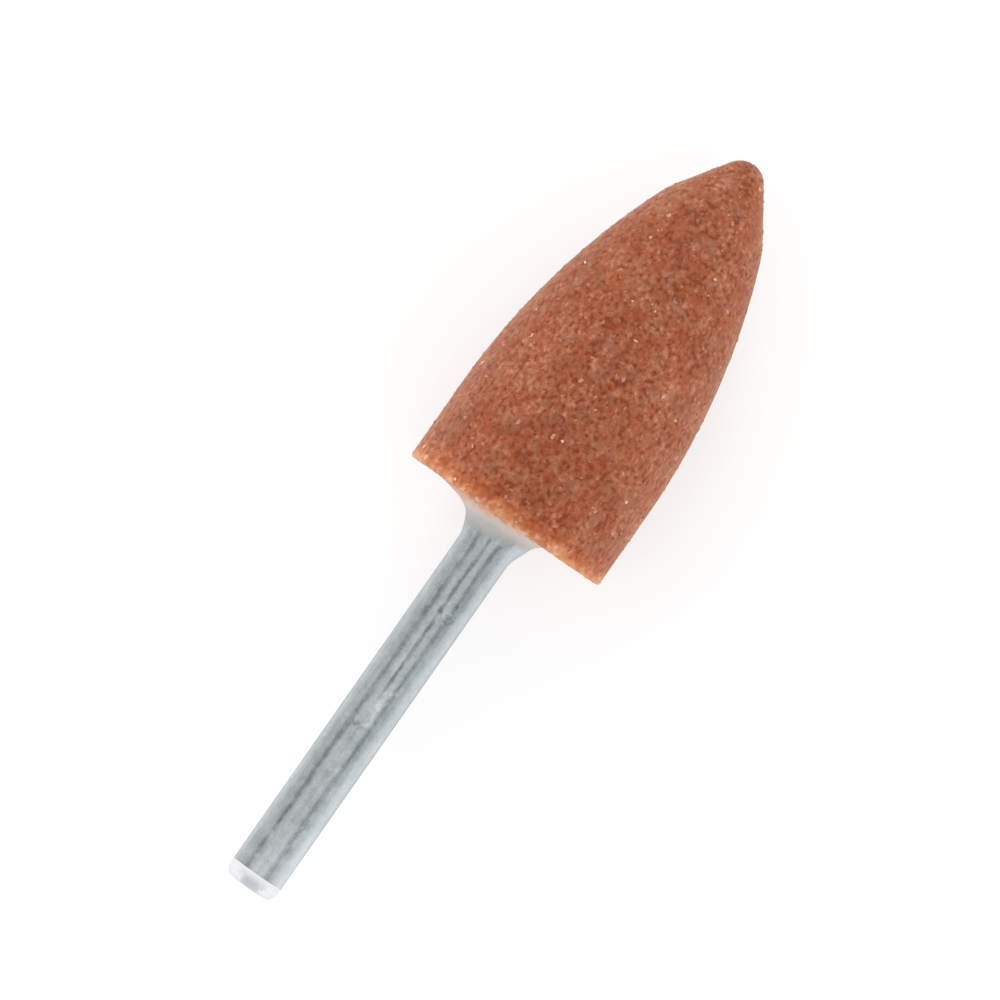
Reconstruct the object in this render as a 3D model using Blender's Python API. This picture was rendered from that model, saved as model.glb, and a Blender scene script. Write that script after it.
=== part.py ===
# Mounted point: a pointed-arch abrasive head cemented on a straight round steel shank.
# It lies on its side as it comes to rest, on the parallel land of the head, with the
# tip towards +X. The origin is under the middle of its length, on the surface it lies on.

from math import cos, pi, radians, sin, sqrt, tan

import bmesh
import bpy
from mathutils import Vector

MM = 0.001

# Abrasive head
HEAD_DIAMETER = 25.4 * MM
HEAD_LENGTH = 48.2 * MM
LAND_LENGTH = 9.5 * MM              # parallel stretch above the base
POINT_LENGTH = 7.35 * MM            # steeper stretch at the tip, nose included
POINT_HALF_ANGLE = radians(34.0)
NOSE_RADIUS = 2.65 * MM
SHOULDER_BLEND = 1.3 * MM           # rounding each side of where the arch meets the point
BASE_EDGE_RADIUS = 0.4 * MM

# Shank
SHANK_DIAMETER = 6.35 * MM
SHANK_EXPOSED = 49.6 * MM           # from the base of the head to the free end
SHANK_BONDED = 19.0 * MM            # inside the head
TAIL_ROUND_RADIAL = 0.9 * MM        # the free end is rounded like a quarter ellipse
TAIL_ROUND_AXIAL = 1.25 * MM
BONDED_CHAMFER = 0.5 * MM
PLAIN_ROOT = 4.0 * MM               # smooth stretch in the socket before the first knurl
KNURL_DEPTH = 0.22 * MM
KNURL_RUNOUT = 0.4 * MM
NECK_LENGTH = 1.6 * MM              # groove between the two knurled bands
NECK_DEPTH = 0.35 * MM
KNURL_TAIL = 1.2 * MM               # smooth stretch after the second knurl

# Cement
CEMENT_WALL = 0.7 * MM              # between the shank and the wall of the socket
CEMENT_PLUG = 1.0 * MM              # between the end of the shank and the bottom of the socket
COLLAR_RADIUS = 6.4 * MM
COLLAR_LENGTH = 3.6 * MM
COLLAR_RIM = 0.15 * MM              # thickness of the collar's outer edge
COLLAR_TOE = 0.1 * MM               # thickness of its edge on the shank
COLLAR_TOE_ANGLE = radians(16.0)    # how steeply it leaves the shank
BOND_GAP = 0.05 * MM                # clearance that keeps the three solids apart

# Fineness of the turned surfaces. The count is even, because the knurl's crests and roots
# take turns, and a whole flat faces down for the head to lie on.
SEGMENTS = 48
STEP_ANGLE = 2 * pi / SEGMENTS
ARCH_STEPS = 14
NOSE_STEPS = 7
ROUND_STEPS = 5
BLEND_STEPS = 4
COLLAR_STEPS = 8
MERGE_DISTANCE = 0.001 * MM
SMOOTH_ANGLE = radians(28.0)

HEAD_RADIUS = HEAD_DIAMETER / 2
SHANK_RADIUS = SHANK_DIAMETER / 2
SOCKET_RADIUS = SHANK_RADIUS + CEMENT_WALL
SOCKET_DEPTH = SHANK_BONDED + CEMENT_PLUG

# The two knurled bands share what the smooth stretches and the neck leave between them.
KNURL_START = PLAIN_ROOT + KNURL_RUNOUT
KNURL_END = SHANK_BONDED - BONDED_CHAMFER - KNURL_TAIL - KNURL_RUNOUT
NECK_MIDDLE = (KNURL_START + KNURL_END) / 2
NECK_START = NECK_MIDDLE - NECK_LENGTH / 2
NECK_END = NECK_MIDDLE + NECK_LENGTH / 2
KNURL_BANDS = (
    (KNURL_START, NECK_START - KNURL_RUNOUT),
    (NECK_END + KNURL_RUNOUT, KNURL_END),
)

# Every outline below is a list of (radius, height) points. Height is measured along the
# axis from the base plane of the head, towards the tip.


def quarter_ellipse(start, end, steps):
    """Points of a quarter ellipse that leaves start along the radius and reaches end along the axis."""
    points = []
    for i in range(steps + 1):
        angle = pi / 2 * i / steps
        radius = start[0] + (end[0] - start[0]) * sin(angle)
        height = start[1] + (end[1] - start[1]) * (1 - cos(angle))
        points.append((radius, height))
    return points


def blend_curve(start, corner, end, steps):
    """Points of a parabola from start to end that would meet at the corner."""
    points = []
    for i in range(steps + 1):
        t = i / steps
        a, b, c = (1 - t) ** 2, 2 * t * (1 - t), t ** 2
        points.append(tuple(a * s + b * m + c * e for s, m, e in zip(start, corner, end)))
    return points


def arch_point(height, arch_radius):
    """A point of the arch, which leaves the land without a corner."""
    rise = height - LAND_LENGTH
    drop = arch_radius - sqrt(arch_radius ** 2 - rise ** 2)
    return (HEAD_RADIUS - drop, height)


def head_outline():
    """The socket's bottom, its wall, the base, the land, the arch, the point and the nose."""
    nose_centre = HEAD_LENGTH - NOSE_RADIUS
    tangent_radius = NOSE_RADIUS * cos(POINT_HALF_ANGLE)
    tangent_height = nose_centre + NOSE_RADIUS * sin(POINT_HALF_ANGLE)

    # The arch ends where the point begins, and its radius follows from its two ends.
    shoulder_height = HEAD_LENGTH - POINT_LENGTH
    taper = tan(POINT_HALF_ANGLE)
    shoulder_radius = tangent_radius + (tangent_height - shoulder_height) * taper
    rise = shoulder_height - LAND_LENGTH
    drop = HEAD_RADIUS - shoulder_radius
    arch_radius = (rise ** 2 + drop ** 2) / (2 * drop)

    blend_start = arch_point(shoulder_height - SHOULDER_BLEND, arch_radius)
    blend_end = (shoulder_radius - SHOULDER_BLEND * taper, shoulder_height + SHOULDER_BLEND)

    outline = [(0.0, SOCKET_DEPTH), (SOCKET_RADIUS, SOCKET_DEPTH), (SOCKET_RADIUS, 0.0)]
    edge_start = (HEAD_RADIUS - BASE_EDGE_RADIUS, 0.0)
    edge_end = (HEAD_RADIUS, BASE_EDGE_RADIUS)
    outline += quarter_ellipse(edge_start, edge_end, ROUND_STEPS)
    arch_height = blend_start[1] - LAND_LENGTH
    for i in range(ARCH_STEPS):
        outline.append(arch_point(LAND_LENGTH + arch_height * i / ARCH_STEPS, arch_radius))
    outline += blend_curve(blend_start, (shoulder_radius, shoulder_height), blend_end, BLEND_STEPS)
    for i in range(NOSE_STEPS + 1):
        angle = POINT_HALF_ANGLE + (pi / 2 - POINT_HALF_ANGLE) * i / NOSE_STEPS
        outline.append((NOSE_RADIUS * cos(angle), nose_centre + NOSE_RADIUS * sin(angle)))
    outline[-1] = (0.0, HEAD_LENGTH)
    return outline


def bonded_outline(gap):
    """The keyed end of the shank from its root to its end face, made larger by the gap."""
    wall = SHANK_RADIUS + gap
    outline = []
    for start, end in KNURL_BANDS:
        outline += [(wall, start - KNURL_RUNOUT), (wall, start), (wall, end), (wall, end + KNURL_RUNOUT)]
    neck = [(wall - NECK_DEPTH, NECK_START + NECK_DEPTH), (wall - NECK_DEPTH, NECK_END - NECK_DEPTH)]
    outline[4:4] = neck
    outline.append((wall, SHANK_BONDED - BONDED_CHAMFER))
    outline.append((wall - BONDED_CHAMFER, SHANK_BONDED + gap))
    outline.append((0.0, SHANK_BONDED + gap))
    return outline


def shank_outline():
    """The free end, its rounding, the plain pin and the keyed end."""
    rounding_start = (SHANK_RADIUS - TAIL_ROUND_RADIAL, -SHANK_EXPOSED)
    rounding_end = (SHANK_RADIUS, TAIL_ROUND_AXIAL - SHANK_EXPOSED)
    outline = [(0.0, -SHANK_EXPOSED)]
    outline += quarter_ellipse(rounding_start, rounding_end, ROUND_STEPS)
    return outline + bonded_outline(0.0)


def cement_outline():
    """From the plug under the shank's end, down the bond, round the collar and up the socket."""
    toe = (SHANK_RADIUS + BOND_GAP + COLLAR_TOE, -COLLAR_LENGTH)
    rim = (COLLAR_RADIUS, -BOND_GAP - COLLAR_RIM)
    corner = (toe[0] + (rim[1] - toe[1]) * tan(COLLAR_TOE_ANGLE), rim[1])
    outline = list(reversed(bonded_outline(BOND_GAP)))
    outline.append((SHANK_RADIUS + BOND_GAP, -COLLAR_LENGTH))
    outline += blend_curve(toe, corner, rim, COLLAR_STEPS)
    outline.append((COLLAR_RADIUS, -BOND_GAP))
    outline.append((SOCKET_RADIUS - BOND_GAP, -BOND_GAP))
    outline.append((SOCKET_RADIUS - BOND_GAP, SOCKET_DEPTH - BOND_GAP))
    outline.append((0.0, SOCKET_DEPTH - BOND_GAP))
    return outline


def roll_knurl(body, wall):
    """Press every second vertex of the knurled bands in, so that straight teeth stand there."""
    for vertex in body.verts:
        radius = vertex.co.xy.length
        in_band = any(
            start - MERGE_DISTANCE < vertex.co.z < end + MERGE_DISTANCE for start, end in KNURL_BANDS
        )
        if not in_band or abs(radius - wall) > MERGE_DISTANCE:
            continue
        turn = Vector((1.0, 0.0)).angle_signed(vertex.co.xy) / STEP_ANGLE - 0.5
        if round(turn) % 2:
            shrink = (radius - KNURL_DEPTH) / radius
            vertex.co.x *= shrink
            vertex.co.y *= shrink
    # The run-outs are twisted, so they are split the same way on the shank and in the cement.
    bmesh.ops.triangulate(body, faces=body.faces, quad_method="SHORT_EDGE")


def turned_object(name, outline, material, knurl_wall=None):
    """Spin an outline once round the Z axis into one closed body."""
    body = bmesh.new()
    start = Vector((cos(STEP_ANGLE / 2), sin(STEP_ANGLE / 2), 0.0))
    ring = []
    for radius, height in outline:
        ring.append(body.verts.new(start * radius + Vector((0.0, 0.0, height))))
    for lower, upper in zip(ring, ring[1:]):
        body.edges.new((lower, upper))
    bmesh.ops.spin(
        body,
        geom=body.verts[:] + body.edges[:],
        cent=(0.0, 0.0, 0.0),
        axis=(0.0, 0.0, 1.0),
        angle=2 * pi,
        steps=SEGMENTS,
        use_merge=True,
    )
    bmesh.ops.remove_doubles(body, verts=body.verts, dist=MERGE_DISTANCE)
    if knurl_wall:
        roll_knurl(body, knurl_wall)
    bmesh.ops.recalc_face_normals(body, faces=body.faces)

    mesh = bpy.data.meshes.new(name)
    body.to_mesh(mesh)
    body.free()
    mesh.shade_smooth()
    mesh.set_sharp_from_angle(angle=SMOOTH_ANGLE)
    mesh.materials.append(material)
    part = bpy.data.objects.new(name, mesh)
    bpy.context.collection.objects.link(part)
    return part


def surface_material(name, colour, roughness, metallic):
    material = bpy.data.materials.new(name)
    material.use_nodes = True
    shader = material.node_tree.nodes["Principled BSDF"]
    shader.inputs["Base Color"].default_value = (*colour, 1.0)
    shader.inputs["Roughness"].default_value = roughness
    shader.inputs["Metallic"].default_value = metallic
    material.diffuse_color = (*colour, 1.0)
    return material


def build():
    for leftover in list(bpy.data.objects):
        bpy.data.objects.remove(leftover, do_unlink=True)

    fired_grain = surface_material("fired_grain", (0.36, 0.12, 0.06), 0.85, 0.0)
    dull_steel = surface_material("dull_steel", (0.42, 0.45, 0.46), 0.35, 1.0)
    hard_cement = surface_material("hard_cement", (0.56, 0.52, 0.49), 0.5, 0.0)

    parts = [
        turned_object("abrasive_head", head_outline(), fired_grain),
        turned_object("shank", shank_outline(), dull_steel, SHANK_RADIUS),
        turned_object("cement", cement_outline(), hard_cement, SHANK_RADIUS + BOND_GAP),
    ]

    # The axis lies along +X at the height of a flat of the head, which faces down.
    axis = bpy.data.objects.new("tool_axis", None)
    bpy.context.collection.objects.link(axis)
    middle = (HEAD_LENGTH - SHANK_EXPOSED) / 2
    axis.location = (-middle, 0.0, HEAD_RADIUS * cos(STEP_ANGLE / 2))
    axis.rotation_euler = (0.0, pi / 2, 0.0)
    for part in parts:
        part.parent = axis


build()
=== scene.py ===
import random
from math import cos, exp, hypot, inf, pi, radians, sin, sqrt, tan

import bmesh
import bpy
import numpy as np
from mathutils import Matrix, Vector


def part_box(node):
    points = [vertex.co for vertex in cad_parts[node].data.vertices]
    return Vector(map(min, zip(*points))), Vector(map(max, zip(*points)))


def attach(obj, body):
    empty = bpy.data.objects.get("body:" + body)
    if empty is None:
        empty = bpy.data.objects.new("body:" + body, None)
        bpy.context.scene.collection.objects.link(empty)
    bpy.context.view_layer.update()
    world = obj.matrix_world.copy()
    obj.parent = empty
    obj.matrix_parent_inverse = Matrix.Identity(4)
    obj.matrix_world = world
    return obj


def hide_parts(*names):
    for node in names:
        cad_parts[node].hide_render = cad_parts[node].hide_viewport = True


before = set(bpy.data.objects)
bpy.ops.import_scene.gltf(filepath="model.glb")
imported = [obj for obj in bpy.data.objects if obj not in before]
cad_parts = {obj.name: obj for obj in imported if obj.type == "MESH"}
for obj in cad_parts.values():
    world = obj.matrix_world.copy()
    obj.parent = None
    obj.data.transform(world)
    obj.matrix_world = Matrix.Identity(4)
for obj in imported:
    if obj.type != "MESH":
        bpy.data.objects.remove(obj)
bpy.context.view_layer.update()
print("frame loaded:", sorted(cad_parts))

# Lengths are in millimetres up to the point where a vertex or a node takes them.
mm = 0.001
headLow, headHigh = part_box("abrasive_head")
shankLow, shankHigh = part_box("shank")
basePlane = headLow.x / mm
axisHeight = (headLow.z + headHigh.z) / 2 / mm
headLength = (headHigh.x - headLow.x) / mm
headRadius = (headHigh.y - headLow.y) / 2 / mm
shankExposed = (headLow.x - shankLow.x) / mm
shankBonded = (shankHigh.x - headLow.x) / mm
noiseSpan = {"From Min": 0.3, "From Max": 0.7}      # where nearly all of a noise texture's values lie


def linear(hexColour):
    # sRGB hex to the linear numbers that a shader takes
    channels = [int(hexColour[i:i + 2], 16) / 255 for i in (1, 3, 5)]
    return [c / 12.92 if c <= 0.04045 else ((c + 0.055) / 1.055) ** 2.4 for c in channels] + [1.0]


def addNode(tree, kind, inputs=None, **settings):
    # An input is given by name or number. It takes a node, for its first output in use, a socket or a
    # plain value. In a Mix, 0 is the share, 6 and 7 are the two colours, and 2 and 3 the two numbers.
    node = tree.nodes.new(kind)
    for name, value in settings.items():
        setattr(node, name, value)
    for key, value in (inputs or {}).items():
        if isinstance(value, bpy.types.Node):
            value = next(output for output in value.outputs if output.enabled)
        if isinstance(value, bpy.types.NodeSocket):
            tree.links.new(value, node.inputs[key])
        else:
            node.inputs[key].default_value = value
    return node


def setRamp(node, stops):
    # stops: (position, hex colour) from dark to light
    ramp = node.color_ramp
    while len(ramp.elements) < len(stops):
        ramp.elements.new(1.0)
    for element, (position, hexColour) in zip(ramp.elements, stops):
        element.position = position
        element.color = linear(hexColour)


def emptyMaterial(name, previewHex):
    material = bpy.data.materials.new(name)
    material.use_nodes = True
    material.node_tree.nodes.clear()
    material.diffuse_color = linear(previewHex)
    return material


def newObject(name, data):
    made = bpy.data.objects.new(name, data)
    bpy.context.collection.objects.link(made)
    return made


def onAxis(height, radius, turn):
    # height runs from the head's base plane to the tip, and turn from straight up towards -Y
    return Vector((
        (basePlane + height) * mm,
        -radius * sin(turn) * mm,
        (axisHeight + radius * cos(turn)) * mm,
    ))


def evenPoints(outline, spacing):
    # the same outline with its points the same distance apart
    points = np.array(outline, float)
    travelled = np.concatenate([[0.0], np.cumsum(np.hypot(*np.diff(points, axis=0).T))])
    wanted = np.linspace(0.0, travelled[-1], max(2, round(travelled[-1] / spacing) + 1))
    return list(zip(*(np.interp(wanted, travelled, column) for column in points.T)))


def turnedPiece(name, rings, shape=onAxis):
    # rings: (height, radius, count, phase). Rings of equal count make quads, others triangles.
    body = bmesh.new()
    made = []
    for height, radius, count, phase in rings:
        turns = [2 * pi * (i + phase) / count for i in range(count)]
        made.append(([body.verts.new(shape(height, radius, turn)) for turn in turns], turns))
    for (lower, lowerTurns), (upper, upperTurns) in zip(made, made[1:]):
        i = j = 0
        if len(lower) == len(upper) and lowerTurns[0] == upperTurns[0]:
            for i in range(len(lower)):
                body.faces.new((lower[i - 1], lower[i], upper[i], upper[i - 1]))
            continue
        while i < len(lower) or j < len(upper):
            nextLower = lowerTurns[0] + 2 * pi * (i + 1) / len(lower) if len(lower) > 1 else inf
            nextUpper = upperTurns[0] + 2 * pi * (j + 1) / len(upper) if len(upper) > 1 else inf
            a, b = lower[i % len(lower)], upper[j % len(upper)]
            if len(upper) == 1 or (i < len(lower) and (j >= len(upper) or nextLower < nextUpper)):
                if i < len(lower):
                    body.faces.new((a, lower[(i + 1) % len(lower)], b))
                i += 1
                if len(upper) == 1 and i >= len(lower):
                    break
            else:
                body.faces.new((a, upper[(j + 1) % len(upper)], b))
                j += 1
                if len(lower) == 1 and j >= len(upper):
                    break
    bmesh.ops.recalc_face_normals(body, faces=body.faces)
    mesh = bpy.data.meshes.new(name)
    body.to_mesh(mesh)
    body.free()
    mesh.shade_smooth()
    return newObject(name, mesh)


def fromAxis(tree, place):
    # the place along the tool, to its +Y side, above its axis and away from its axis
    apart = addNode(tree, "ShaderNodeSeparateXYZ", {0: place})
    rise = addNode(tree, "ShaderNodeMath", {0: apart.outputs[2], 1: axisHeight * mm}, operation="SUBTRACT")
    across = addNode(tree, "ShaderNodeCombineXYZ", {1: apart.outputs[1], 2: rise})
    radius = addNode(tree, "ShaderNodeVectorMath", {0: across}, operation="LENGTH")
    return {"lengthways": apart.outputs[0], "sideways": apart.outputs[1], "rise": rise, "radius": radius}


def distanceFrom(tree, value, centre):
    off = addNode(tree, "ShaderNodeMath", {0: value, 1: centre}, operation="SUBTRACT")
    return addNode(tree, "ShaderNodeMath", {0: off}, operation="ABSOLUTE")


def putOn(piece, material, node):
    piece.data.materials.append(material)
    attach(piece, "root")
    if node:
        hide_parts(node)
    print("made", piece.name, len(piece.data.polygons), "faces")


# Abrasive head: one pressed and fired piece of coarse alumina grain in a glassy bond.
abrasiveHead = {
    "landLength": 9.5,
    "pointLength": 7.35,
    "pointHalfAngle": 34.0,
    "noseRadius": 2.65,
    "shoulderBlend": 1.3,
    "baseEdgeRadius": 0.4,
    "socketRadius": 3.875,
    "socketDepth": shankBonded + 1.0,
    "socketCount": 96,
    "meshSpacing": 0.205,           # between vertices, fine enough for each grain to stand out
    "grainSize": 0.52,              # coarse grit, about 36
    "stir": (0.8, 0.3),             # size and reach of what pushes the grains out of shape
    "clumpSize": 2.0,
    "patchSize": 2.3,
    "broadSize": 6.5,
    "poreSize": 0.57,
    "poreDepth": 0.05,
    "grainRelief": 0.02,
    "rimRelief": (1.5, 0.15),       # the relief is lower within this distance of the rim, down to this share
    # how far each pattern moves the tone up and down in all
    "contrasts": {"grainShade": 0.24, "clumps": 1.25, "hollows": 1.15, "broad": 0.46},
    # how much darker the pores are: partly the bond's colour, partly painted shade in the hollows
    "poreShade": 0.28,
    "tones": [                      # from deep in a pore, with painted shade, through the bond, to a cut grain
        (0.0, "#7c2b0b"),
        (0.3, "#8a3f20"),
        (0.5, "#995131"),
        (0.7, "#a46040"),
        (1.0, "#c2886d"),
    ],
    "rimReach": 3.0,                # how far the painted highlight along the rim reaches from the edge of the base
    "rimWaver": (0.6, 1.45),
    "rimAdds": [                    # what the painted highlight adds to the colour, from the edge outwards
        (0.0, "#957f66"),
        (0.1, "#8e7050"),
        (0.22, "#875c38"),
        (0.37, "#6b3f1e"),
        (0.55, "#562f14"),
        (0.77, "#381500"),
        (1.0, "#000000"),
    ],
    "grainHues": [                  # from grains stained by the bond to clear ones
        (0.0, "#a44627"),
        (0.5, "#a2583c"),
        (1.0, "#a06c55"),
    ],
    "hueShare": 0.19,
    "greyPatch": "#9b6a51",
    "redPatch": "#a1502e",
    "skinSheen": "#ffdcc4",
    "rimDust": "#dcb3a2",           # cement dust, in spots along the edge of the base
    "dustShare": 0.75,
}


def headOutline():
    # from the rim of the base to the tip: land, arch, blend, point and nose, all tangent
    halfAngle = radians(abrasiveHead["pointHalfAngle"])
    nose = abrasiveHead["noseRadius"]
    land = abrasiveHead["landLength"]
    edge = abrasiveHead["baseEdgeRadius"]
    blend = abrasiveHead["shoulderBlend"]
    tangentRadius = nose * cos(halfAngle)
    tangentHeight = headLength - nose + nose * sin(halfAngle)
    shoulderHeight = headLength - abrasiveHead["pointLength"]
    shoulderRadius = tangentRadius + (tangentHeight - shoulderHeight) * tan(halfAngle)
    rise = shoulderHeight - land
    drop = headRadius - shoulderRadius
    archRadius = (rise ** 2 + drop ** 2) / (2 * drop)

    edgeSteps, archSteps, blendSteps, noseSteps = 8, 60, 8, 16
    outline = []
    for i in range(edgeSteps + 1):
        angle = pi / 2 * i / edgeSteps
        outline.append((edge * (1 - cos(angle)), headRadius - edge * (1 - sin(angle))))
    for i in range(archSteps + 1):
        height = land + (shoulderHeight - blend - land) * i / archSteps
        outline.append((height, headRadius - archRadius + sqrt(archRadius ** 2 - (height - land) ** 2)))
    start, corner = outline[-1], (shoulderHeight, shoulderRadius)
    end = (shoulderHeight + blend, shoulderRadius - blend * tan(halfAngle))
    for i in range(1, blendSteps + 1):
        t = i / blendSteps
        weights = ((1 - t) ** 2, 2 * t * (1 - t), t ** 2)
        outline.append(tuple(sum(w * p[k] for w, p in zip(weights, (start, corner, end))) for k in (0, 1)))
    for i in range(noseSteps + 1):
        angle = halfAngle + (pi / 2 - halfAngle) * i / noseSteps
        outline.append((headLength - nose + nose * sin(angle), nose * cos(angle)))
    return outline


def grainPattern(tree, place):
    # The same nodes colour the head and sink its pores, so both fall on the same spots.
    look = abrasiveHead
    stirSize, stirReach = look["stir"]
    stir = addNode(tree, "ShaderNodeTexNoise", {
        "Vector": place, "Scale": 1 / (stirSize * mm), "Detail": 1.0})
    stirred = addNode(tree, "ShaderNodeVectorMath", {
        0: stir.outputs["Color"], 1: (stirReach * mm,) * 3, 2: place}, operation="MULTIPLY_ADD")
    grains = addNode(tree, "ShaderNodeTexVoronoi", {
        "Vector": stirred, "Scale": 1 / (look["grainSize"] * mm)})
    shade = addNode(tree, "ShaderNodeSeparateXYZ", {0: grains.outputs["Color"]})
    clumps = addNode(tree, "ShaderNodeTexNoise", {
        "Vector": place, "Scale": 1 / (look["clumpSize"] * mm), "Detail": 3.0, "Roughness": 0.8})
    hollows = addNode(tree, "ShaderNodeTexNoise", {
        "Vector": stirred, "Scale": 1 / (look["poreSize"] * mm), "Detail": 1.0})
    pore = addNode(tree, "ShaderNodeMapRange", {
        "Value": hollows, "From Min": 0.44, "From Max": 0.32}, interpolation_type="SMOOTHSTEP")
    return {
        "grainDistance": grains.outputs["Distance"],
        "grainShade": shade.outputs[0],
        "grainGloss": shade.outputs[1],
        "grainHue": shade.outputs[2],
        "clumps": clumps,
        "hollows": hollows,
        "pore": pore,
    }


def rimPaintedHighlight(tree, place):
    # a painted highlight along the rim of the base, as light would catch its rounded edge: what it adds
    # fades with the distance from its edge
    look = abrasiveHead
    axis = fromAxis(tree, place)
    inside = addNode(tree, "ShaderNodeMath", {0: headRadius * mm, 1: axis["radius"]}, operation="SUBTRACT")
    above = addNode(tree, "ShaderNodeMath", {0: axis["lengthways"], 1: basePlane * mm}, operation="SUBTRACT")
    away = addNode(tree, "ShaderNodeCombineXYZ", {0: above, 1: inside})
    distance = addNode(tree, "ShaderNodeVectorMath", {0: away}, operation="LENGTH")
    wear = addNode(tree, "ShaderNodeTexNoise", {
        "Vector": place, "Scale": 1 / (1.1 * mm), "Detail": 2.0, "Roughness": 0.6})
    least, most = (share / (look["rimReach"] * mm) for share in look["rimWaver"])
    stretch = addNode(tree, "ShaderNodeMapRange", {
        "Value": wear, **noiseSpan, "To Min": least, "To Max": most}, clamp=False)
    reach = addNode(tree, "ShaderNodeMath", {0: distance, 1: stretch}, operation="MULTIPLY")
    rimLight = addNode(tree, "ShaderNodeValToRGB", {0: reach})
    setRamp(rimLight, look["rimAdds"])
    return rimLight, reach


def sinkPores(piece):
    # sinks the pores and the gaps between grains in the mesh itself
    tree = bpy.data.node_groups.new("grainRelief", "GeometryNodeTree")
    for direction in ("INPUT", "OUTPUT"):
        tree.interface.new_socket("Geometry", in_out=direction, socket_type="NodeSocketGeometry")
    given = addNode(tree, "NodeGroupInput")
    place = addNode(tree, "GeometryNodeInputPosition")
    pattern = grainPattern(tree, place)
    share = addNode(tree, "GeometryNodeInputNamedAttribute", {"Name": "reliefShare"}, data_type="FLOAT")
    gap = addNode(tree, "ShaderNodeMath", {
        0: pattern["grainDistance"], 1: abrasiveHead["grainRelief"] * mm}, operation="MULTIPLY")
    depth = addNode(tree, "ShaderNodeMath", {
        0: pattern["pore"], 1: abrasiveHead["poreDepth"] * mm, 2: gap}, operation="MULTIPLY_ADD")
    sunk = addNode(tree, "ShaderNodeMath", {0: depth, 1: share}, operation="MULTIPLY")
    inward = addNode(tree, "ShaderNodeMath", {0: sunk, 1: -1.0}, operation="MULTIPLY")
    normal = addNode(tree, "GeometryNodeInputNormal")
    push = addNode(tree, "ShaderNodeVectorMath", {0: normal, "Scale": inward}, operation="SCALE")
    moved = addNode(tree, "GeometryNodeSetPosition", {"Geometry": given, "Offset": push})
    addNode(tree, "NodeGroupOutput", {0: moved})
    piece.modifiers.new("grainRelief", "NODES").node_group = tree
    depsgraph = bpy.context.evaluated_depsgraph_get()
    finished = bpy.data.meshes.new_from_object(piece.evaluated_get(depsgraph), depsgraph=depsgraph)
    piece.modifiers.clear()
    piece.data = finished


def firedAlumina():
    # Vitrified brown-pink alumina, pressed, fired and dressed to shape. The cut grains lie flush,
    # a little paler and glossier than the bond, and the pores between them are deep red-brown, partly
    # painted shade.
    look = abrasiveHead
    material = emptyMaterial("firedAlumina", "#a05d43")
    tree = material.node_tree
    place = addNode(tree, "ShaderNodeTexCoord").outputs["Object"]
    pattern = grainPattern(tree, place)
    pattern["broad"] = addNode(tree, "ShaderNodeTexNoise", {
        "Vector": place, "Scale": 1 / (look["broadSize"] * mm), "Detail": 0.0})

    # tone: each grain its own shade, clumps of darker and paler mix, and the pores darkest, partly painted
    # shade in the hollows
    tone = 0.5 - sum(look["contrasts"].values()) / 2
    for name, contrast in look["contrasts"].items():
        tone = addNode(tree, "ShaderNodeMath", {
            0: pattern[name], 1: contrast, 2: tone}, operation="MULTIPLY_ADD")
    tone = addNode(tree, "ShaderNodeMath", {
        0: pattern["pore"], 1: -look["poreShade"], 2: tone}, operation="MULTIPLY_ADD")
    toned = addNode(tree, "ShaderNodeValToRGB", {0: tone})
    setRamp(toned, look["tones"])

    # a hue of its own for each grain, which leaves its tone as it is
    hues = addNode(tree, "ShaderNodeValToRGB", {0: pattern["grainHue"]})
    setRamp(hues, look["grainHues"])
    colour = addNode(tree, "ShaderNodeMix", {
        0: look["hueShare"], 6: toned, 7: hues}, data_type="RGBA", blend_type="COLOR")

    # patches a few grains wide, some greyish pink and some redder
    patches = addNode(tree, "ShaderNodeTexNoise", {
        "Vector": place, "Scale": 1 / (look["patchSize"] * mm), "Detail": 2.0, "Roughness": 0.7})
    for limit, share, patch in ((0.72, 0.55, "greyPatch"), (0.3, 0.6, "redPatch")):
        strength = addNode(tree, "ShaderNodeMapRange", {
            "Value": patches, "From Min": 0.5, "From Max": limit, "To Max": share})
        colour = addNode(tree, "ShaderNodeMix", {
            0: strength, 6: colour, 7: linear(look[patch])}, data_type="RGBA")

    # a painted highlight along the rim of the base, with spots of cement dust
    uneven = addNode(tree, "ShaderNodeMapRange", {
        "Value": patches, "From Min": 0.35, "From Max": 0.65, "To Min": 0.65, "To Max": 1.2})
    rimLight, fromRim = rimPaintedHighlight(tree, place)
    colour = addNode(tree, "ShaderNodeMix", {
        0: uneven, 6: colour, 7: rimLight}, data_type="RGBA", blend_type="ADD", clamp_factor=False)
    spots = addNode(tree, "ShaderNodeTexNoise", {"Vector": place, "Scale": 1 / (1.0 * mm), "Detail": 1.0})
    spot = addNode(tree, "ShaderNodeMapRange", {
        "Value": spots, "From Min": 0.54, "From Max": 0.7}, interpolation_type="SMOOTHSTEP")
    byRim = addNode(tree, "ShaderNodeMapRange", {
        "Value": fromRim, "From Min": 0.42, "From Max": 0.12, "To Max": look["dustShare"]})
    dusty = addNode(tree, "ShaderNodeMath", {0: spot, 1: byRim}, operation="MULTIPLY")
    colour = addNode(tree, "ShaderNodeMix", {
        0: dusty, 6: colour, 7: linear(look["rimDust"])}, data_type="RGBA")

    gloss = addNode(tree, "ShaderNodeMapRange", {
        "Value": pattern["grainGloss"], "To Min": 0.95, "To Max": 0.6})
    bump = addNode(tree, "ShaderNodeBump", {
        "Strength": 0.22, "Distance": 0.12 * mm, "Height": pattern["hollows"]})
    shader = addNode(tree, "ShaderNodeBsdfPrincipled", {
        "Base Color": colour,
        "Roughness": gloss,
        "IOR": 1.5,
        "Specular IOR Level": 0.2,
        "Sheen Weight": 0.45,
        "Sheen Roughness": 0.5,
        "Sheen Tint": linear(look["skinSheen"]),
        "Normal": bump,
    })
    addNode(tree, "ShaderNodeOutputMaterial", {0: shader})
    return material


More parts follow.
